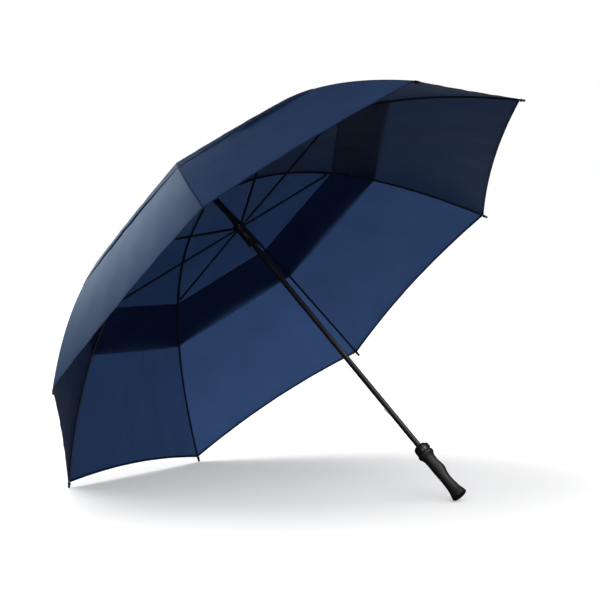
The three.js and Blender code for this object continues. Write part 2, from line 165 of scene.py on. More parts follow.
# ---- Materials ------------------------------------------------------------------------------------
class Nodes:
    """A material's node tree, with short ways to add nodes and links."""

    def __init__(self, name):
        self.material = bpy.data.materials.new(name)
        self.material.use_nodes = True
        self.tree = self.material.node_tree
        self.shader = self.tree.nodes["Principled BSDF"]
        self.output = self.tree.nodes["Material Output"]

    def add(self, kind, **settings):
        node = self.tree.nodes.new(kind)
        for key, value in settings.items():
            setattr(node, key, value)
        return node

    def link(self, source, target):
        self.tree.links.new(source, target)

    def set(self, **values):
        for key, value in values.items():
            self.shader.inputs[key.replace("_", " ")].default_value = value

    def feed(self, name, source):
        self.link(source, self.shader.inputs[name])

    def coordinates(self, output, scale=(1, 1, 1)):
        place = self.add("ShaderNodeTexCoord")
        mapping = self.add("ShaderNodeMapping")
        mapping.inputs["Scale"].default_value = scale
        self.link(place.outputs[output], mapping.inputs["Vector"])
        return mapping.outputs["Vector"]

    def noise(self, vector, scale, detail=3.0):
        node = self.add("ShaderNodeTexNoise")
        node.inputs["Scale"].default_value = scale
        node.inputs["Detail"].default_value = detail
        self.link(vector, node.inputs["Vector"])
        return node.outputs["Fac"]

    def ramp(self, factor, stops):
        node = self.add("ShaderNodeValToRGB")
        for element, (position, colour) in zip(node.color_ramp.elements, stops):
            element.position = position
            element.color = (*colour, 1)
        self.link(factor, node.inputs["Fac"])
        return node.outputs["Color"]

    def product(self, a, b):
        node = self.add("ShaderNodeMath", operation="MULTIPLY")
        self.link(a, node.inputs[0])
        self.link(b, node.inputs[1])
        return node.outputs["Value"]

    def bump(self, height, strength, distance, before=None):
        node = self.add("ShaderNodeBump")
        node.inputs["Strength"].default_value = strength
        node.inputs["Distance"].default_value = distance
        self.link(height, node.inputs["Height"])
        if before is not None:
            self.link(before, node.inputs["Normal"])
        return node.outputs["Normal"]


def shades(colour, low, high):
    """Two stops of a ramp, a darker and a lighter shade of one colour."""
    return [(0.3, [c * low for c in colour]), (0.7, [c * high for c in colour])]


def greys(low, high):
    """Two stops of a ramp, for a value that varies from low to high."""
    return [(0.3, (low,) * 3), (0.7, (high,) * 3)]


def cloth_material(name, passed):
    """Plain-weave polyester: dark by reflected light, a clearer blue by the light that comes through."""
    n = Nodes(name)
    reflected = (0.015, 0.030, 0.075)
    place = n.coordinates("UV")
    patches = n.noise(place, 9, 4)
    n.feed("Base Color", n.ramp(patches, shades(reflected, 0.9, 1.12)))
    n.set(Roughness=0.45, Specular_IOR_Level=0.02)
    warp = n.add("ShaderNodeTexWave", bands_direction="X")
    weft = n.add("ShaderNodeTexWave", bands_direction="Y")
    for threads in (warp, weft):
        threads.inputs["Scale"].default_value = 700
        threads.inputs["Distortion"].default_value = 0.6
        n.link(place, threads.inputs["Vector"])
    weave = n.product(warp.outputs["Fac"], weft.outputs["Fac"])
    slub = n.noise(n.coordinates("UV", (40, 400, 1)), 1, 2)
    n.feed("Normal", n.bump(slub, 0.06, 0.3 * MM, n.bump(weave, 0.12, 0.15 * MM)))
    through = n.add("ShaderNodeBsdfTranslucent")
    n.link(n.ramp(patches, shades(passed, 0.93, 1.08)), through.inputs["Color"])
    both = n.add("ShaderNodeAddShader")
    n.link(n.shader.outputs["BSDF"], both.inputs[0])
    n.link(through.outputs["BSDF"], both.inputs[1])
    n.link(both.outputs["Shader"], n.output.inputs["Surface"])
    return n.material


def fibre_material():
    """Black glass-fibre rod with its fine lengthwise grain."""
    n = Nodes("rib_fibre")
    grain = n.noise(n.coordinates("UV", (8, 900, 1)), 1, 2)
    n.feed("Base Color", n.ramp(grain, shades((0.012, 0.013, 0.016), 0.7, 1.4)))
    n.set(Roughness=0.36, Coat_Weight=0.15, Coat_Roughness=0.3)
    n.feed("Normal", n.bump(grain, 0.1, 0.05 * MM))
    return n.material


def even_material(name, colour, shine, skin=None, **settings):
    """A plain material whose colour and shine vary a little, with a fine skin.

    The colour is (colour, darkest, lightest, scale), the shine (least and most roughness, scale), and
    the skin (scale, strength, height)."""
    n = Nodes(name)
    place = n.coordinates("Object")
    middle, darkest, lightest, scale = colour
    n.feed("Base Color", n.ramp(n.noise(place, scale), shades(middle, darkest, lightest)))
    least, most, scale = shine
    n.feed("Roughness", n.ramp(n.noise(place, scale), greys(least, most)))
    n.set(**settings)
    if skin:
        scale, strength, height = skin
        n.feed("Normal", n.bump(n.noise(place, scale, 2), strength, height))
    return n.material


CLOTH_LOOK = cloth_material("navy_polyester", (0.030, 0.057, 0.131))
SHADED_VENT_LOOK = cloth_material("navy_vent_polyester", (0.015, 0.031, 0.074))   # painted shade: the same polyester with half the light coming through, so the vent canopy looks darker
FIBRE_LOOK = fibre_material()

# Satin powder coat on the steel tube and the stretchers.
PAINT_LOOK = even_material("black_paint", ((0.012, 0.012, 0.014), 0.8, 1.25, 60), (0.28, 0.38, 25),
                           (1800, 0.08, 0.05 * MM), Specular_IOR_Level=0.3, Coat_Weight=0.1,
                           Coat_Roughness=0.2)

# Bright wire and strip of the catches, rings and the return spring.
STEEL_LOOK = even_material("spring_steel", ((0.52, 0.53, 0.55), 0.85, 1.1, 300), (0.25, 0.42, 900),
                           Metallic=1.0)

# Soft-touch rubber of the grip, matt and finely pebbled, and the smoother moulded plastic.
RUBBER_LOOK = even_material("grip_rubber", ((0.014, 0.014, 0.016), 0.8, 1.3, 45), (0.46, 0.58, 30),
                            (1400, 0.22, 0.12 * MM))
PLASTIC_LOOK = even_material("black_plastic", ((0.012, 0.012, 0.013), 0.85, 1.2, 70), (0.26, 0.36, 50),
                             (900, 0.06, 0.08 * MM))


# ---- Mesh tools -----------------------------------------------------------------------------------
WELD_REACH = 0.001 * MM
BEVEL_ANGLE = math.radians(30)
FINE_SEGMENTS = 96                 # round the handle, which is seen from near


def add_object(name, vertices, faces, look, smooth_angle=None, uv=None):
    """A mesh given in the umbrella's frame. With a smooth angle, sharper edges stay sharp."""
    mesh = bpy.data.meshes.new(name)
    mesh.from_pydata([tuple(v) for v in vertices], [], faces)
    if uv is not None:
        layer = mesh.uv_layers.new(name="cut")
        corners = np.empty(len(mesh.loops), np.int32)
        mesh.loops.foreach_get("vertex_index", corners)
        layer.data.foreach_set("uv", np.asarray(uv, np.float32)[corners].ravel())
    mesh.transform(UMBRELLA)
    mesh.materials.append(look)
    mesh.validate()
    obj = bpy.data.objects.new(name, mesh)
    bpy.context.scene.collection.objects.link(obj)
    mesh.polygons.foreach_set("use_smooth", [True] * len(mesh.polygons))
    if smooth_angle is not None:
        mark_sharp(mesh, smooth_angle)
    return obj


def mark_sharp(mesh, degrees):
    """Edges that turn by more than that many degrees, and open ones, stay sharp."""
    limit = math.radians(degrees)
    work = bmesh.new()
    work.from_mesh(mesh)
    for edge in work.edges:
        edge.smooth = len(edge.link_faces) == 2 and edge.calc_face_angle() < limit
    work.to_mesh(mesh)
    work.free()


def turned_about(points, azimuth):
    """The points turned about the shaft."""
    c, s = math.cos(azimuth), math.sin(azimuth)
    return [(x * c - y * s, x * s + y * c, z) for x, y, z in points]


def grid_faces(rows, columns, closed_rows=False, closed_columns=False):
    """Quads of a grid of rows x columns points, row by row."""
    faces = []
    for i in range(rows if closed_rows else rows - 1):
        for j in range(columns if closed_columns else columns - 1):
            i2 = (i + 1) % rows
            j2 = (j + 1) % columns
            faces.append((i * columns + j, i2 * columns + j, i2 * columns + j2, i * columns + j2))
    return faces


def lathe(name, profile, look, segments=64, ring=False, smooth_angle=32, radius_at=None):
    """A turned body about the shaft. Profile points are (radius, depth), from the top down, outside last.

    A ring's profile closes on itself; otherwise it starts and ends on the axis."""
    vertices = []
    for radius, depth in profile:
        for j in range(segments):
            angle = 2 * math.pi * j / segments
            r = radius if radius_at is None else radius_at(radius, depth, angle)
            vertices.append((r * math.cos(angle), r * math.sin(angle), -depth))
    faces = grid_faces(len(profile), segments, closed_rows=ring, closed_columns=True)
    obj = face_outwards(add_object(name, vertices, faces, look), weld=True)
    if smooth_angle is not None:
        mark_sharp(obj.data, smooth_angle)
    return obj


def face_outwards(obj, weld=False):
    """Turns the faces outwards. Welding first joins points that coincide, as on the axis of a lathe."""
    work = bmesh.new()
    work.from_mesh(obj.data)
    if weld:
        bmesh.ops.remove_doubles(work, verts=work.verts, dist=WELD_REACH)
    bmesh.ops.recalc_face_normals(work, faces=work.faces)
    work.to_mesh(obj.data)
    work.free()
    return obj


def smooth_profile(points, steps):
    """A Catmull-Rom curve through the points, with the ends kept."""
    points = [np.array(p, float) for p in points]
    padded = [2 * points[0] - points[1], *points, 2 * points[-1] - points[-2]]
    out = [points[0]]
    for a, b, c, d in zip(padded, padded[1:], padded[2:], padded[3:]):
        for i in range(1, steps + 1):
            t = i / steps
            out.append(0.5 * (2 * b + (c - a) * t + (2 * a - 5 * b + 4 * c - d) * t ** 2
                              + (3 * b - a - 3 * c + d) * t ** 3))
    return [tuple(p) for p in out]


def rounded(profile, radius, steps=4):
    """The profile with each inner corner rounded off by up to that radius."""
    out = [profile[0]]
    for before, corner, after in zip(profile, profile[1:], profile[2:]):
        p, c, q = (np.array(x, float) for x in (before, corner, after))
        to_p, to_q = p - c, q - c
        cut = min(radius, 0.45 * np.linalg.norm(to_p), 0.45 * np.linalg.norm(to_q))
        a = c + to_p / np.linalg.norm(to_p) * cut
        b = c + to_q / np.linalg.norm(to_q) * cut
        for i in range(steps + 1):
            t = i / steps
            out.append(tuple((1 - t) ** 2 * a + 2 * t * (1 - t) * c + t ** 2 * b))
    out.append(profile[-1])
    return out


def ring_profile(corners, radius, steps=4):
    """A closed profile with rounded corners, which starts in the middle of its last side."""
    first, last = np.array(corners[0], float), np.array(corners[-1], float)
    start = tuple(first * 0.55 + last * 0.45)
    end = tuple(first * 0.45 + last * 0.55)
    return rounded([start, *corners, end], radius, steps)


def cut_away(obj, cutters):
    """Cuts the solids in cutters out of obj and removes them."""
    for cutter in cutters:
        modifier = obj.modifiers.new("cut", "BOOLEAN")
        modifier.operation = "DIFFERENCE"
        modifier.solver = "EXACT"
        modifier.object = cutter
    bpy.context.view_layer.update()
    graph = bpy.context.evaluated_depsgraph_get()
    made = bpy.data.meshes.new_from_object(obj.evaluated_get(graph))
    obj.modifiers.clear()
    obj.data = made
    for cutter in cutters:
        bpy.data.objects.remove(cutter)


def radial_box(name, r0, r1, d0, d1, width, azimuth):
    """A box from radius r0 to r1 and from depth d0 to d1."""
    w = width / 2
    corners = [(r, y, -d) for r in (r0, r1) for y in (-w, w) for d in (d0, d1)]
    faces = [(0, 1, 3, 2), (4, 6, 7, 5), (0, 4, 5, 1), (2, 3, 7, 6), (0, 2, 6, 4), (1, 5, 7, 3)]
    return face_outwards(add_object(name, turned_about(corners, azimuth), faces, PLASTIC_LOOK))


def bevel(obj, width, segments):
    """Rounds the edges that turn by more than BEVEL_ANGLE."""
    modifier = obj.modifiers.new("rounding", "BEVEL")
    modifier.width = width
    modifier.segments = segments
    modifier.limit_method = "ANGLE"
    modifier.angle_limit = BEVEL_ANGLE
    modifier.harden_normals = True


def place(obj, body, slot, *replaced):
    """Attaches the piece to the body it rides on and hides the CAD nodes it stands for; the slot is not
    used.
    """
    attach(obj, body)
    if replaced:
        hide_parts(*replaced)


# ---- The shape of a rib ---------------------------------------------------------------------------
def rib_depth(r):
    """The ribs run level out to FLAT_R and bend down beyond it."""
    return RIB_BEND * np.maximum(0, r - FLAT_R) ** 2


def rib_point(r, lift, azimuth):
    """A point that far above the rib's centre line, in the radial plane at the azimuth."""
    slope = 2 * RIB_BEND * np.maximum(0, r - FLAT_R)
    length = np.sqrt(1 + slope ** 2)
    radius = r + slope / length * lift
    return np.stack([radius * np.cos(azimuth), radius * np.sin(azimuth), -rib_depth(r) + lift / length], -1)


def rib_frame(r):
    """The middle of the rib at azimuth 0, with unit vectors along the rib and up from it."""
    slope = 2 * RIB_BEND * (r - FLAT_R)
    length = math.hypot(1, slope)
    middle = np.array([r, 0, -float(rib_depth(r))])
    return middle, np.array([1, 0, -slope]) / length, np.array([slope, 0, 1]) / length


# ---- Canopies -------------------------------------------------------------------------------------
# A place on the cloth is s, the radius along the ribs, and v, the place across, counted in ribs.
LOWER = {"lift": LOWER_LIFT, "standoff": 0.0, "sag": 3.0 * MM, "inner": VENT_R, "outer": RIM_R,
         "look": CLOTH_LOOK}
UPPER = {"lift": UPPER_LIFT, "standoff": VENT_STANDOFF, "sag": 0.0, "inner": CROWN_HOLE_R,
         "outer": UPPER_HEM_R, "look": SHADED_VENT_LOOK}
HEM = 3 * MM                       # width of the rolled hems
SEAM = 3 * MM                      # the seam allowance on each side of a rib
SEAM_SHARE = 0.42                  # near the crown the seam takes no more of the gore than this
GORE_OVERLAP = 0.04 * MM           # the two halves of a gore lap by this much on each side
GORE_COLUMNS = 22                  # points across half a gore
FOLD_DROP = 0.55 * MM              # the folded layer lies this far under the cloth
LIP = 0.6                          # how far the vent's hem turns down, as a share of its standoff
FOLD_SHARP = 35                    # degrees; the folded edges of the cloth are crisp
WRINKLE = 0.5 * MM
WRINKLE_REACH = 150 * MM


def cloth_point(layer, s, v, drop, lip):
    """Between two ribs the cloth runs across from rib to rib, drawn in a little by its tension.

    A folded layer lies deeper by its drop, and the lip turns the vent's hem down."""
    left = np.floor(v + 1e-9)
    share = np.clip(v - left, 0, 1)
    bow = 4 * share * (1 - share)
    r = s * (1 - RIM_SCALLOP * bow * (s / RIM_R) ** 6)
    along = np.clip((s - layer["inner"]) / (layer["outer"] - layer["inner"]), 0, 1)
    beyond = np.clip((s - STANDOFF_START) / (UPPER_HEM_R - STANDOFF_START), 0, 1)
    rise = layer["lift"] + layer["standoff"] * beyond ** 2 * bow * (1 - lip) - drop
    rise = rise - layer["sag"] * bow * 4 * along * (1 - along)
    rise = rise + wrinkles(left, share, s, layer) * bow
    a = rib_point(r, rise, azimuth_of(left))
    b = rib_point(r, rise, azimuth_of(left + 1))
    return a + (b - a) * share[..., None]


def wrinkles(gore, share, s, layer):
    """Faint pulls that run from the corners of each gore into the cloth."""
    near_rim = np.exp(-((layer["outer"] - s) / WRINKLE_REACH) ** 2)
    near_vent = np.exp(-((s - layer["inner"]) / WRINKLE_REACH) ** 2)
    phase = 1.7 * gore
    pulls = np.sin(2 * math.pi * (5 * share + 3 * s) + phase) + 0.6 * np.sin(
        2 * math.pi * (9 * share - 6 * s) + 2.3 * phase)
    return WRINKLE * pulls * (0.25 + near_rim + 0.6 * near_vent) / 1.6


def folded_rows(s0, s1, count, hem_in, hem_out):
    """Places along the ribs, as (s, drop, lip), with a hem folded under at either end.

    The lip is the share of the standoff by which the vent's hem turns down towards the lower canopy."""
    rows = [(s, 0.0, 0.0) for s in np.linspace(s0, s1, count)]
    if hem_in:
        hem = [(s0 + HEM * t, FOLD_DROP, 0.0) for t in (1, 0.5, 0)]
        rows = hem + [(s0 - 0.3 * MM, FOLD_DROP / 2, 0.0)] + rows
    if hem_out:
        rows += [(s1 + 0.8 * MM, FOLD_DROP * 0.3, LIP * 0.5), (s1 + 0.9 * MM, FOLD_DROP * 0.5, LIP)]
        rows += [(s1 - HEM * t, FOLD_DROP, LIP * (1 - t)) for t in (0, 0.5, 1)]
    return rows


def half_gore(name, layer, rib, side, rows):
    """The cloth from a rib to the middle of the gore beside it, with its seam allowance folded under."""
    s = np.array([row[0] for row in rows])[:, None]
    drop = np.array([row[1] for row in rows])[:, None]
    lip = np.array([row[2] for row in rows])[:, None]
    chord = 2 * s * math.sin(STEP / 2)
    middle = 0.5 + GORE_OVERLAP / chord
    across = middle * np.linspace(1, 0, GORE_COLUMNS)[None, :]
    folded = np.minimum(SEAM / chord, SEAM_SHARE) * np.array([[0.5, 1.0]])
    share = np.concatenate([across, folded], 1)
    fold = np.concatenate([np.zeros((1, GORE_COLUMNS)), np.full((1, 2), FOLD_DROP)], 1)
    v = rib + side * share
    points = cloth_point(layer, s + 0 * share, v, drop + fold, lip)
    sign = np.concatenate([np.ones(GORE_COLUMNS), -np.ones(2)])[None, :]
    uv = np.stack([s + 0 * share, side * share * sign * chord], -1)
    faces = grid_faces(*share.shape)
    if side < 0:
        faces = [tuple(reversed(face)) for face in faces]
    return add_object(name, points.reshape(-1, 3), faces, layer["look"], smooth_angle=FOLD_SHARP,
                      uv=uv.reshape(-1, 2))


def folds_with(obj):
    """Gives the piece a mesh of its own."""
    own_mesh(obj)


def add_cloth(name, layer, rib, side, body, s0, s1, rows, node):
    """Half a gore from s0 to s1, cut as a flat sheet and stretched over its rib."""
    hem_in = layer is LOWER
    hem_out = s1 == layer["outer"]
    obj = half_gore(name, layer, rib, side, folded_rows(s0, s1, rows, hem_in, hem_out))
    place(obj, body, "canopy_cloth", node)
    folds_with(obj)


def canopies():
    """Each rib carries the cloth on both its sides; where the rib bends, the vent canopy is divided."""
    for rib in range(RIBS):
        n = rib + 1
        inner, outer = f"rib_{n}", f"rib_end_{n}"
        for side, tag in ((-1, "a"), (1, "b")):
            add_cloth(f"lower_canopy_{n}{tag}", LOWER, rib, side, outer, VENT_R, RIM_R, 60,
                      f"canopy_panel_{n}")
            add_cloth(f"crown_canopy_{n}{tag}", UPPER, rib, side, inner, CROWN_HOLE_R, CROWN_PART_R, 20,
                      "vent_canopy")
            add_cloth(f"upper_canopy_{n}{tag}", UPPER, rib, side, inner, CROWN_PART_R, FLEX_R, 32,
                      "vent_canopy")
            add_cloth(f"upper_hem_{n}{tag}", UPPER, rib, side, outer, FLEX_R, UPPER_HEM_R, 20,
                      "vent_canopy")


# ---- Ribs -----------------------------------------------------------------------------------------
def tube_along(points, radius, sides):
    """Vertices and faces of a round rod through points in the radial plane y = 0."""
    points = np.array(points, float)
    tangents = np.gradient(points, axis=0)
    tangents /= np.linalg.norm(tangents, axis=1)[:, None]
    vertices = []
    for p, t in zip(points, tangents):
        up = np.array([-t[2], 0, t[0]])
        for j in range(sides):
            angle = 2 * math.pi * j / sides
            vertices.append(p + radius * (math.cos(angle) * np.array([0, 1, 0]) + math.sin(angle) * up))
    faces = grid_faces(len(points), sides, closed_columns=True)
    faces.append(tuple(range(sides)))
    faces.append(tuple(reversed(range((len(points) - 1) * sides, len(points) * sides))))
    return vertices, faces


ROD_SIDES = 16
BEND_ZONE = 22 * MM                # the rod has closer rings from twice this far before FLEX_R to twice this far beyond it


def rib_rods():
    """Each rib is one glass-fibre rod."""
    before, after = FLEX_R - 2 * BEND_ZONE, FLEX_R + 2 * BEND_ZONE
    radii = np.concatenate([np.linspace(ROD_START, before, 40),
                            np.linspace(before, after, 30)[1:-1],
                            np.linspace(after, ROD_END, 50)])
    vertices, faces = tube_along(rib_point(radii, 0 * radii, 0.0), ROD_R, ROD_SIDES)
    along = np.repeat(radii, ROD_SIDES)
    around = np.tile(np.arange(ROD_SIDES) / ROD_SIDES, len(radii)) * 2 * math.pi * ROD_R
    for rib in range(RIBS):
        n = rib + 1
        azimuth = azimuth_of(rib)
        rod = add_object(f"rib_rod_{n}", turned_about(vertices, azimuth), faces, FIBRE_LOOK,
                         smooth_angle=40, uv=np.stack([along, around], -1))
        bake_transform(rod)
        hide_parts(f"rib_outer_{n}", f"rib_inner_{n}")


# ---- Rib fittings ---------------------------------------------------------------------------------
EYE_R = 2.3 * MM
EYE_HOLE_R = 0.95 * MM
LEAF = 2.2 * MM
TONGUE = 1.8 * MM
RIVET_R = 1 * MM
RIVET_HEAD_R = 1.9 * MM
RIVET_LENGTH = 5 * MM


def arc_points(centre, radius, start, end, steps):
    """Points (radius, depth) on an arc in the radial plane; 0 degrees points outwards, 90 down."""
    angles = np.radians(np.linspace(start, end, steps))
    return [(centre[0] + radius * math.cos(a), centre[1] + radius * math.sin(a)) for a in angles]


def plate_mesh(outline, thickness):
    """Vertices and faces of a flat plate in the radial plane y = 0."""
    count = len(outline)
    vertices = [(r, y, -d) for y in (-thickness / 2, thickness / 2) for r, d in outline]
    faces = [tuple(range(count)), tuple(reversed(range(count, 2 * count)))]
    faces += [(i, (i + 1) % count, count + (i + 1) % count, count + i) for i in range(count)]
    return vertices, faces


def pin_mesh(centre, radius, length, sides=24):
    """Vertices and faces of a round pin square to the radial plane."""
    return plate_mesh(arc_points(centre, radius, 0, 360, sides + 1)[:-1], length)


def joined(*parts):
    """Several meshes as one."""
    vertices = []
    faces = []
    for part_vertices, part_faces in parts:
        offset = len(vertices)
        vertices += [tuple(v) for v in part_vertices]
        faces += [tuple(i + offset for i in face) for face in part_faces]
    return vertices, faces


def for_each_rib(name, mesh_parts, look, body, slot, cutters=(), edge=0.15 * MM):
    """The same fitting on all eight ribs, built once at azimuth 0 and turned into place."""
    vertices, faces = mesh_parts
    pattern = face_outwards(add_object(name, vertices, faces, look))
    holes = [face_outwards(add_object("cutter", v, f, look)) for v, f in cutters]
    if holes:
        cut_away(pattern, holes)
    for rib in range(RIBS):
        mesh = pattern.data.copy()
        turn = Matrix.Rotation(azimuth_of(rib), 4, "Z")
        mesh.transform(UMBRELLA @ turn @ UMBRELLA.inverted())
        obj = bpy.data.objects.new(f"{name}_{rib + 1}", mesh)
        bpy.context.scene.collection.objects.link(obj)
        mark_sharp(mesh, 35)
        if edge:
            bevel(obj, edge, 2)
        place(obj, f"{body}_{rib + 1}", slot)
    bpy.data.objects.remove(pattern)


def rib_fittings():
    """On each rib the eye that turns on the notch ring, and the saddle that a stretcher is riveted to."""
    eye = arc_points((HINGE_R, 0), EYE_R, 35, 325, 20)
    neck_end = 23 * MM
    half = 1.5 * MM
    leaf = plate_mesh([*eye, (neck_end, -half), (neck_end, half)], LEAF)
    for_each_rib("rib_eye", leaf, STEEL_LOOK, "rib", "spring_steel",
                 cutters=[pin_mesh((HINGE_R, 0), EYE_HOLE_R, 2 * LEAF)])
    rod_depth = float(rib_depth(JOINT_R))
    joint = (JOINT_R, JOINT_DEPTH)
    saddle_length = 9 * MM
    saddle_r = ROD_R + 0.7 * MM
    radii = np.linspace(JOINT_R - saddle_length, JOINT_R + 0.4 * saddle_length, 12)
    saddle = tube_along(rib_point(radii, 0 * radii, 0.0), saddle_r, 24)
    tongue = plate_mesh([(JOINT_R - 4.5 * MM, rod_depth - 1 * MM), (JOINT_R + 3 * MM, rod_depth),
                         *arc_points(joint, 2.3 * MM, -10, 190, 14)], TONGUE)
    head, head_faces = pin_mesh(joint, RIVET_HEAD_R, 0.5 * MM)
    heads = [([(x, y + side * RIVET_LENGTH / 2, z) for x, y, z in head], head_faces) for side in (-1, 1)]
    rivet = joined(pin_mesh(joint, RIVET_R, RIVET_LENGTH), *heads)
    for_each_rib("rib_saddle", joined(saddle, tongue), PLASTIC_LOOK, "rib", "black_plastic")
    for_each_rib("rib_rivet", rivet, STEEL_LOOK, "rib", "spring_steel", edge=0.1 * MM)


TIP_LENGTH = 13 * MM
TIP_START = 0.8 * MM
TIP_SOCKET = 6.2 * MM
TIP_BALL_R = 3 * MM


def rib_tips():
    """Moulded caps with a ball end; the socket takes the rod and the corner of the canopy."""
    ball = [(TIP_BALL_R * math.cos(a), TIP_LENGTH - TIP_BALL_R + TIP_BALL_R * math.sin(a))
            for a in np.linspace(0, math.pi / 2, 12)]
    ball[-1] = (0.0, TIP_LENGTH)
    neck = smooth_profile([(3.6 * MM, 3 * MM), (3.1 * MM, 5.2 * MM), (2.6 * MM, 7.4 * MM)], 4)
    socket_r = ROD_R + GAP
    profile = [(0.0, TIP_SOCKET), (socket_r, TIP_SOCKET), (socket_r, TIP_START), (3.3 * MM, TIP_START),
               (3.6 * MM, TIP_START + 0.5 * MM), *neck, *ball]
    sides = 32
    start, along, up = rib_frame(RIM_R)
    vertices = []
    for radius, distance in profile:
        for j in range(sides):
            angle = 2 * math.pi * j / sides
            across = radius * (math.cos(angle) * np.array([0, 1, 0]) + math.sin(angle) * up)
            vertices.append(start + distance * along + across)
    faces = grid_faces(len(profile), sides, closed_columns=True)
    for rib in range(RIBS):
        name = f"tip_cap_{rib + 1}"
        obj = add_object(name, turned_about(vertices, azimuth_of(rib)), faces, PLASTIC_LOOK)
        mark_sharp(face_outwards(obj, weld=True).data, 35)
        place(obj, f"rib_end_{rib + 1}", "black_plastic", f"rib_tip_{rib + 1}")


TIE_PLACES = (440 * MM, 535 * MM)
TIE_R = 2.45 * MM
TIE_RISE = 0.1 * MM
THREAD_R = 0.35 * MM
THREAD_SPACING = 2 * THREAD_R


def rib_ties():
    """Thread that holds the seams of the lower canopy to the ribs."""
    rings = []
    around, sides = 24, 8
    for r in TIE_PLACES:
        middle, along, up = rib_frame(r)
        centre = middle + TIE_RISE * up
        for shift in (-THREAD_SPACING, 0.0, THREAD_SPACING):
            vertices = []
            for i in range(around):
                a = 2 * math.pi * i / around
                out = math.cos(a) * np.array([0, 1, 0]) + math.sin(a) * up
                for j in range(sides):
                    b = 2 * math.pi * j / sides
                    vertices.append(centre + shift * along + out * (TIE_R + THREAD_R * math.cos(b))
                                    + along * THREAD_R * math.sin(b))
            rings.append((vertices, grid_faces(around, sides, closed_rows=True, closed_columns=True)))
    for_each_rib("rib_tie", joined(*rings), CLOTH_LOOK, "rib_end", "canopy_cloth", edge=0)


# ---- Shaft and crown ------------------------------------------------------------------------------
TOP_CATCH = 169 * MM
LOW_CATCH = 674 * MM
CATCH_W = 2.6 * MM
WINDOW_ABOVE = 1.5 * MM            # a window reaches this far above the top of its catch
WINDOW_BELOW = 24 * MM             # and this far below it
NOTCH_TOP = -2.2 * MM
NOTCH_END = 5 * MM
NOTCH_R = 15 * MM
SLOT = 3.2 * MM
SLOT_FLOOR_R = 8.6 * MM
WIRE_R = 0.6 * MM


def shaft_tube():
    """The steel tube, with the windows that its two catches stand out of."""
    tube = lathe("shaft_tube", ring_profile([
        (SHAFT_BORE_R, -SHAFT_TOP), (SHAFT_R, -SHAFT_TOP), (SHAFT_R, SHAFT_END), (SHAFT_BORE_R, SHAFT_END),
    ], 0.4 * MM), PAINT_LOOK, ring=True)
    windows = [radial_box("window", 2 * MM, SHAFT_R + 2 * MM, depth - WINDOW_ABOVE, depth + WINDOW_BELOW,
                          CATCH_W + 0.8 * MM, CATCH_AZIMUTH) for depth in (TOP_CATCH, LOW_CATCH)]
    cut_away(tube, windows)
    mark_sharp(tube.data, 32)
    place(tube, "shaft", "black_paint", "shaft")


def wire_ring(name, depth, body):
    """The wire that the eyes of eight ribs or stretchers are strung on."""
    section = [(HINGE_R + WIRE_R * math.cos(a), depth + WIRE_R * math.sin(a))
               for a in np.linspace(0, 2 * math.pi, 17)[:-1]]
    ring = lathe(name, section, STEEL_LOOK, ring=True, smooth_angle=None)
    place(ring, body, "spring_steel", name.replace("wire_", ""))


def hinge_slots(outer, d0, d1):
    """Cutters for the slots that the ribs or the stretchers turn in."""
    return [radial_box("slot", SLOT_FLOOR_R, outer, d0, d1, SLOT, azimuth_of(rib)) for rib in range(RIBS)]


def ring_groove(depth, outer):
    """Cutter for the groove that a wire ring is sprung into."""
    half = 1.1 * MM
    inner = HINGE_R - half
    return lathe("groove", [(inner, depth - half), (outer, depth - half), (outer, depth + half),
                            (inner, depth + half)], PLASTIC_LOOK, ring=True)


def notch():
    """The slotted hub at the crown, which the ribs hang in."""
    body = lathe("notch_hub", ring_profile([
        (BORE_R, NOTCH_TOP), (NOTCH_R, NOTCH_TOP), (NOTCH_R, NOTCH_END), (BORE_R, NOTCH_END),
    ], 0.8 * MM), PLASTIC_LOOK, ring=True)
    outside = NOTCH_R + 2 * MM
    cut_away(body, [ring_groove(0.0, outside), *hinge_slots(outside, -4 * MM, 8 * MM)])
    mark_sharp(body.data, 30)
    place(body, "shaft", "black_plastic", "notch")


CAP_BASE = -(UPPER_LIFT + CLOTH + GAP)
CAP_TOP = CAP_BASE - 6 * MM


def crown_cap():
    """The cap that holds the cloth down on the notch."""
    cap = lathe("crown_cap", ring_profile([
        (BORE_R, CAP_TOP), (9.5 * MM, CAP_TOP), (14 * MM, CAP_BASE - 4.2 * MM),
        (17 * MM, CAP_BASE - 1.4 * MM), (17.4 * MM, CAP_BASE), (BORE_R, CAP_BASE),
    ], 1.6 * MM, 6), PLASTIC_LOOK, ring=True)
    place(cap, "shaft", "black_plastic", "top_cap")


def ferrule():
    """The point of the umbrella, a closed socket on the end of the tube."""
    base = CAP_TOP - GAP
    socket_top = -SHAFT_TOP - GAP
    tip = lathe("ferrule_point", rounded([
        (0.0, -62 * MM), (4.1 * MM, -62 * MM), (4.4 * MM, -58 * MM), (5.2 * MM, -40 * MM),
        (8.3 * MM, -32 * MM), (8.6 * MM, -20 * MM), (9.2 * MM, base - 3 * MM), (9.2 * MM, base),
        (BORE_R, base), (BORE_R, socket_top), (0.0, socket_top),
    ], 1.5 * MM, 6), PLASTIC_LOOK)
    place(tip, "shaft", "black_plastic", "ferrule")


# ---- Runner ---------------------------------------------------------------------------------------
RUNNER_TOP = RUNNER_DEPTH - 8 * MM
RUNNER_END = 166 * MM
RUNNER_BORE_R = 6.75 * MM
KEYWAY_R = 9.9 * MM
KEYWAY_W = 5.2 * MM
SLEEVE_R = 11 * MM
HEAD_CUT_R = 17 * MM               # clear of the runner's head


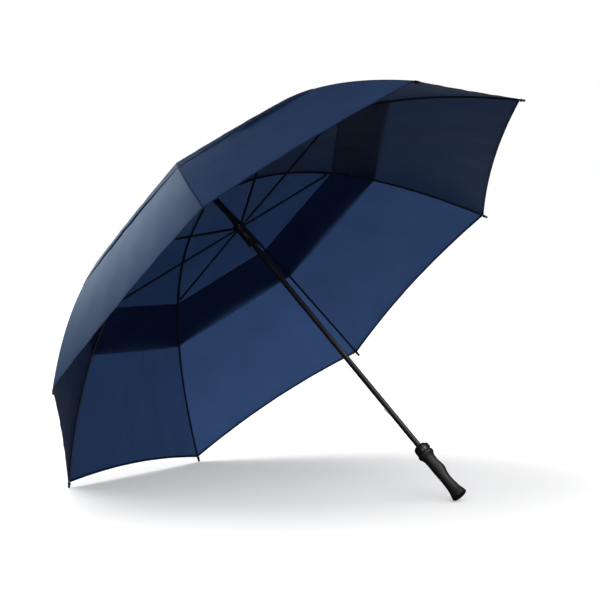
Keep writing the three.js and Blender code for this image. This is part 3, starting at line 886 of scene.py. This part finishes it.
def runner():
    """The runner: a slotted head for the stretchers on a sleeve with grooves to hold it by."""
    grooves = []
    for i in range(4):
        middle = RUNNER_END - (30 - 5 * i) * MM
        grooves += [(SLEEVE_R, middle - 1.1 * MM), (10.4 * MM, middle), (SLEEVE_R, middle + 1.1 * MM)]
    sleeve = lathe("runner_sleeve", ring_profile([
        (RUNNER_BORE_R, RUNNER_TOP), (13.4 * MM, RUNNER_TOP), (14.4 * MM, RUNNER_TOP + 1.2 * MM),
        (14.4 * MM, RUNNER_TOP + 13 * MM), (12.6 * MM, RUNNER_TOP + 15.5 * MM),
        (SLEEVE_R, RUNNER_TOP + 17 * MM), *grooves, (SLEEVE_R, RUNNER_END - 9 * MM),
        (11.6 * MM, RUNNER_END - 6 * MM), (12 * MM, RUNNER_END), (RUNNER_BORE_R, RUNNER_END),
    ], 0.7 * MM, 3), PLASTIC_LOOK, ring=True)
    keyway = radial_box("keyway", 5 * MM, KEYWAY_R, RUNNER_TOP - MM, RUNNER_END + MM, KEYWAY_W,
                        CATCH_AZIMUTH)
    slots = hinge_slots(HEAD_CUT_R, RUNNER_TOP - 2 * MM, RUNNER_DEPTH + 4 * MM)
    cut_away(sleeve, [ring_groove(RUNNER_DEPTH, HEAD_CUT_R), keyway, *slots])
    mark_sharp(sleeve.data, 30)
    place(sleeve, "runner", "black_plastic", "runner")


# ---- Handle ---------------------------------------------------------------------------------------
BUTTON_W = 8.4 * MM
BUTTON_H = 12 * MM
BUTTON_FACE = 19.2 * MM
BUTTON_FALL = 1.8 * MM             # from the middle of the face to its edge
BUTTON_BACK = 12.6 * MM
BUTTON_EDGE = 0.3 * MM
POCKET_R = 8.6 * MM
COLLAR_R = 16.8 * MM


def collar():
    """The collar over the grip, with the pocket of its push button."""
    bottom = GRIP_TOP - GAP
    body = lathe("handle_collar", ring_profile([
        (BORE_R, COLLAR_TOP), (10.5 * MM, COLLAR_TOP), (13.8 * MM, COLLAR_TOP + 2 * MM),
        (16.2 * MM, COLLAR_TOP + 6 * MM), (COLLAR_R, COLLAR_TOP + 11 * MM), (COLLAR_R, bottom),
        (BORE_R, bottom),
    ], 1.0 * MM, 5), PLASTIC_LOOK, ring=True, segments=FINE_SEGMENTS)
    half = BUTTON_H / 2 + GAP
    cut_away(body, [radial_box("pocket", POCKET_R, 24 * MM, BUTTON_DEPTH - half, BUTTON_DEPTH + half,
                               BUTTON_W + 2 * GAP, BUTTON_AZIMUTH)])
    mark_sharp(body.data, 30)
    place(body, "shaft", "black_plastic", "collar")


def button():
    """A cushion-shaped push button: its face is domed both ways."""
    steps = 16
    vertices = []
    for i in range(steps + 1):
        for j in range(steps + 1):
            a, b = 2 * i / steps - 1, 2 * j / steps - 1
            dome = (1 - abs(a) ** 4) * (1 - abs(b) ** 4)
            face = BUTTON_FACE - BUTTON_FALL * (1 - dome) ** 2
            vertices.append((face, b * BUTTON_W / 2, -BUTTON_DEPTH - a * BUTTON_H / 2))
    faces = grid_faces(steps + 1, steps + 1)
    rim = ([(i, 0) for i in range(steps)] + [(steps, j) for j in range(steps)]
           + [(i, steps) for i in range(steps, 0, -1)] + [(0, j) for j in range(steps, 0, -1)])
    rim = [i * (steps + 1) + j for i, j in rim]
    back = len(vertices)
    vertices += [(BUTTON_BACK, vertices[k][1], vertices[k][2]) for k in rim]
    count = len(rim)
    faces += [(rim[i], rim[(i + 1) % count], back + (i + 1) % count, back + i) for i in range(count)]
    faces.append(tuple(range(back, back + count)))
    obj = add_object("button", turned_about(vertices, BUTTON_AZIMUTH), faces, PLASTIC_LOOK)
    face_outwards(obj)
    mark_sharp(obj.data, 40)
    bevel(obj, BUTTON_EDGE, 3)
    place(obj, "push_button", "black_plastic", "push_button")


def return_spring():
    """The coil behind the button."""
    turns, steps, sides = 2.25, 90, 12
    wire_r, coil_r = 0.25 * MM, 2.4 * MM
    first = POCKET_R + GAP + 0.5 * MM
    last = BUTTON_BACK - GAP - 0.5 * MM
    vertices = []
    for i in range(steps + 1):
        t = i / steps
        a = 2 * math.pi * turns * t
        out = np.array([0, math.cos(a), math.sin(a)])
        centre = np.array([first + t * (last - first), 0, -BUTTON_DEPTH]) + coil_r * out
        for j in range(sides):
            b = 2 * math.pi * j / sides
            vertices.append(centre + wire_r * (math.cos(b) * out + math.sin(b) * np.array([1, 0, 0])))
    faces = grid_faces(steps + 1, sides, closed_columns=True)
    faces += [tuple(range(sides)), tuple(range(steps * sides, (steps + 1) * sides))]
    obj = add_object("return_spring", turned_about(vertices, BUTTON_AZIMUTH), faces, STEEL_LOOK,
                     smooth_angle=50)
    place(face_outwards(obj), "shaft", "spring_steel", "button_spring")
    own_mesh(obj)


# The grip's outline from the flange down: (depth below GRIP_TOP, radius) in millimetres.
GRIP_OUTLINE = [
    (0, 16.9), (2.5, 18.4), (7, 18.6), (11, 16.4), (17, 14.2), (26, 13.4), (36, 13.3), (46, 13.4),
    (52, 13.3), (62, 12.9), (72, 12.7), (84, 12.7), (96, 13.2), (106, 14.5), (114, 16.6), (121, 18.2),
]
FINGER_DEPTH, FINGER_SPAN, FINGER_BUMP = 49 * MM, 13 * MM, 2.7 * MM
PALM_DEPTH, PALM_SPAN, PALM_HOLLOW = 76 * MM, 20 * MM, -1.3 * MM


def grip_radius(radius, depth, angle):
    """The finger side swells between two fingers and hollows under the third."""
    if radius < SHAFT_R + 2 * GAP:
        return radius
    side = max(0.0, math.cos(angle - BUTTON_AZIMUTH)) ** 1.5
    below = depth - GRIP_TOP
    swell = FINGER_BUMP * math.exp(-((below - FINGER_DEPTH) / FINGER_SPAN) ** 2)
    hollow = PALM_HOLLOW * math.exp(-((below - PALM_DEPTH) / PALM_SPAN) ** 2)
    return radius + side * (swell + hollow)


def grip():
    """The rubber grip: a turned sleeve with a flange at the top and a flare at the end."""
    outline = smooth_profile([(r * MM, GRIP_TOP + d * MM) for d, r in GRIP_OUTLINE], 6)
    body = lathe("grip_sleeve", [(BORE_R, GRIP_TOP), *outline, (BORE_R, GRIP_END)], RUBBER_LOOK,
                 segments=FINE_SEGMENTS, ring=True, smooth_angle=40, radius_at=grip_radius)
    place(body, "shaft", "grip_rubber", "grip")


BUTT_R = 18 * MM
PLUG_TOP = SHAFT_END + 2 * MM      # the plug goes up into the grip, to just under the tube
BUTT_FLAT_R = 9 * MM
PLUG_R = 5.9 * MM


def butt_cap():
    """The flat-ended cap that closes the grip."""
    cap = lathe("grip_cap", rounded([
        (0.0, PLUG_TOP), (PLUG_R, PLUG_TOP), (PLUG_R, BUTT_TOP), (BUTT_R, BUTT_TOP),
        (BUTT_R - 0.6 * MM, BUTT_TOP + 1.9 * MM), (BUTT_R - 2.2 * MM, BUTT_TOP + 3.3 * MM),
        (13.5 * MM, BUTT_TOP + 4.4 * MM), (BUTT_FLAT_R, BUTT_END), (0.0, BUTT_END),
    ], 0.5 * MM, 5), PLASTIC_LOOK, segments=FINE_SEGMENTS)
    place(cap, "shaft", "black_plastic", "butt_cap")


# ---- The stage and the light ----------------------------------------------------------------------
FLOOR_SIZE = 60.0
LIGHT_AIM = Vector((0, 0, 0.45))
LIGHT_DISTANCE = 4.0
FLOOR_GLOW = 0.35

# Soft boxes round the umbrella: what they light, direction from it, width, height, radiance, and a
# tint if they aren't white. "cloth" is the whole canopy and "open_cloth" is what isn't in the shade.
# Most of the light inside the canopy comes from the left, from behind and from below, through it.
COOL = (0.82, 1.0, 1.25)
SOFT_BOXES = {
    "top_front": ("cloth", (0.10, -0.60, 0.79), 2.4, 2.4, 0.9),
    "top_front_more": ("open_cloth", (0.10, -0.60, 0.79), 2.4, 2.4, 2.9),
    "back_middle": ("cloth", (-0.25, 0.97, 0.05), 2.4, 2.4, 2.3),
    "left_wall": ("cloth", (-0.88, 0.38, 0.30), 1.6, 2.4, 0.9, COOL),
    "left_wall_more": ("open_cloth", (-0.88, 0.38, 0.30), 1.6, 2.4, 3.4, COOL),
    "below_right": ("cloth", (0.70, 0.30, -0.65), 2.4, 2.4, 0.6),
    "below_back": ("cloth", (-0.30, 0.75, -0.60), 2.4, 2.4, 2.8),
    "below_back_more": ("open_cloth", (-0.30, 0.75, -0.60), 2.4, 2.4, 2.5),
    "right_box": ("hardware", (0.70, -0.10, 0.70), 2.0, 2.0, 7.0),
    "front_box": ("hardware", (0.60, -0.80, 0.25), 2.4, 2.4, 3.0),
}
FILL = 0.02                        # radiance of the room round them
SHADED_GORES = ("_1b", "_2a", "_2b", "_3a", "_6b", "_7a")     # their cloths' names end so
GRAZED_HEMS = ("upper_hem_7", "upper_hem_8")     # these cast no shadow in the light from the left

# Wide suns that fall on the floor alone: direction, angle in degrees, strength.
FLOOR_SUNS = {
    "floor_front": ((0.30, -0.49, 0.82), 60, 0.88),
    "floor_back": ((-0.30, 0.49, 0.82), 60, 0.79),
    "floor_right": ((0.49, 0.30, 0.82), 60, 0.60),
    "floor_left": ((-0.49, -0.30, 0.82), 60, 1.56),
    "floor_low": ((0.47, -0.77, 0.42), 60, 1.15),
}


def floor_material():
    n = Nodes("studio_floor")
    place = n.coordinates("Object")
    n.feed("Base Color", n.ramp(n.noise(place, 3), greys(0.8, 0.8)))
    n.set(Roughness=0.9, Specular_IOR_Level=0.0, Emission_Color=(1, 1, 1, 1), Emission_Strength=FLOOR_GLOW)
    return n.material


def make_stage():
    """A plain floor that is seen and takes the shadow, and does nothing else."""
    half = FLOOR_SIZE / 2
    mesh = bpy.data.meshes.new("floor")
    mesh.from_pydata([(-half, -half, 0), (half, -half, 0), (half, half, 0), (-half, half, 0)], [],
                     [(0, 1, 2, 3)])
    mesh.materials.append(floor_material())
    floor = bpy.data.objects.new("floor", mesh)
    bpy.context.scene.collection.objects.link(floor)
    floor.visible_diffuse = False      # the umbrella is lit by the soft boxes, some of them below
    floor.visible_glossy = False
    floor.visible_transmission = False
    floor.visible_shadow = False
    return floor


def add_light(name, kind, direction):
    """A light in that direction from the umbrella, turned towards it."""
    data = bpy.data.lights.new(name, kind)
    light = bpy.data.objects.new(name, data)
    bpy.context.scene.collection.objects.link(light)
    away = Vector(direction).normalized()
    light.location = LIGHT_AIM + LIGHT_DISTANCE * away
    light.rotation_mode = "QUATERNION"
    light.rotation_quaternion = (-away).to_track_quat("-Z", "Y")
    light.visible_camera = False
    return light


def add_soft_box(name, direction, width, height, radiance, tint=(1, 1, 1)):
    light = add_light(name, "AREA", direction)
    light.data.shape = "RECTANGLE"
    light.data.size = width
    light.data.size_y = height
    light.data.energy = radiance * math.pi * width * height
    light.data.color = tint
    return light


def light_set(name, objects, blocks=True):
    """A collection for light linking: the objects a light falls on, or those that don't block it."""
    collection = bpy.data.collections.new(name)
    for obj in objects:
        collection.objects.link(obj)
    if not blocks:
        for member in collection.collection_objects:
            member.light_linking.link_state = "EXCLUDE"
    return collection


def make_world():
    """The room looks white, as the floor does, but lights the umbrella only a little."""
    world = bpy.data.worlds.new("studio")
    bpy.context.scene.world = world
    world.use_nodes = True
    tree = world.node_tree
    background = tree.nodes["Background"]
    background.inputs["Color"].default_value = (1, 1, 1, 1)
    path = tree.nodes.new("ShaderNodeLightPath")
    brightness = tree.nodes.new("ShaderNodeMapRange")
    brightness.inputs["To Min"].default_value = FILL
    brightness.inputs["To Max"].default_value = 1.0
    tree.links.new(path.outputs["Is Camera Ray"], brightness.inputs["Value"])
    tree.links.new(brightness.outputs["Result"], background.inputs["Strength"])


def light_umbrella(floor):
    """The soft boxes light the canopy or the hardware, never the floor. The thin rods cast no shadow."""
    pieces = list(bpy.context.scene.collection.all_objects)
    canopy = [obj for obj in pieces if "_canopy_" in obj.name or "_hem_" in obj.name]
    open_cloth = [obj for obj in canopy if not obj.name.endswith(SHADED_GORES)]
    hardware = [obj for obj in pieces if obj.type == "MESH" and obj != floor and obj not in canopy]
    lit = {
        "cloth": light_set("lit_cloth", canopy),
        "open_cloth": light_set("lit_open_cloth", open_cloth),
        "hardware": light_set("lit_hardware", hardware),
    }
    rods = [obj for obj in pieces if "rib_rod" in obj.name]
    hems = [obj for obj in pieces if obj.name.startswith(GRAZED_HEMS)]
    thin = light_set("casts_no_shadow", rods, blocks=False)
    grazed = light_set("casts_no_grazing_shadow", rods + hems, blocks=False)
    for name, (target, *box) in SOFT_BOXES.items():
        light = add_soft_box(name, *box)
        light.light_linking.receiver_collection = lit[target]
        if target != "hardware":
            light.light_linking.blocker_collection = grazed if name.startswith("left") else thin


def light_floor(floor):
    """Suns that only the floor receives, so that the umbrella's shadow on it is soft."""
    lit_floor = light_set("lit_by_floor_suns", [floor])
    for name, (direction, angle, strength) in FLOOR_SUNS.items():
        sun = add_light(name, "SUN", direction)
        sun.data.energy = strength
        sun.data.angle = math.radians(angle)
        sun.light_linking.receiver_collection = lit_floor


rib_rods()
rib_fittings()
rib_tips()
rib_ties()
shaft_tube()
notch()
wire_ring("wire_notch_ring", 0.0, "shaft")
wire_ring("wire_runner_ring", RUNNER_DEPTH, "runner")
crown_cap()
ferrule()
runner()
collar()
button()
return_spring()
grip()
butt_cap()
canopies()
stage_floor = make_stage()
bpy.context.scene.view_settings.view_transform = "Standard"
make_world()
light_umbrella(stage_floor)
light_floor(stage_floor)

# Every CAD node gets a look, whether it is shown or stood for; those not named here are plastic.
NODE_LOOKS = {
    "shaft": PAINT_LOOK, "stretcher": PAINT_LOOK, "notch_ring": STEEL_LOOK, "runner_ring": STEEL_LOOK,
    "top_catch": STEEL_LOOK, "lower_catch": STEEL_LOOK, "release_rod": STEEL_LOOK,
    "button_spring": STEEL_LOOK, "grip": RUBBER_LOOK,
}


def dress_cad_nodes():
    for name, node in frame["nodes"].items():
        family = name.rstrip("0123456789_")
        look = NODE_LOOKS.get(family, PLASTIC_LOOK)
        node.data.materials.clear()
        node.data.materials.append(look)


dress_cad_nodes()
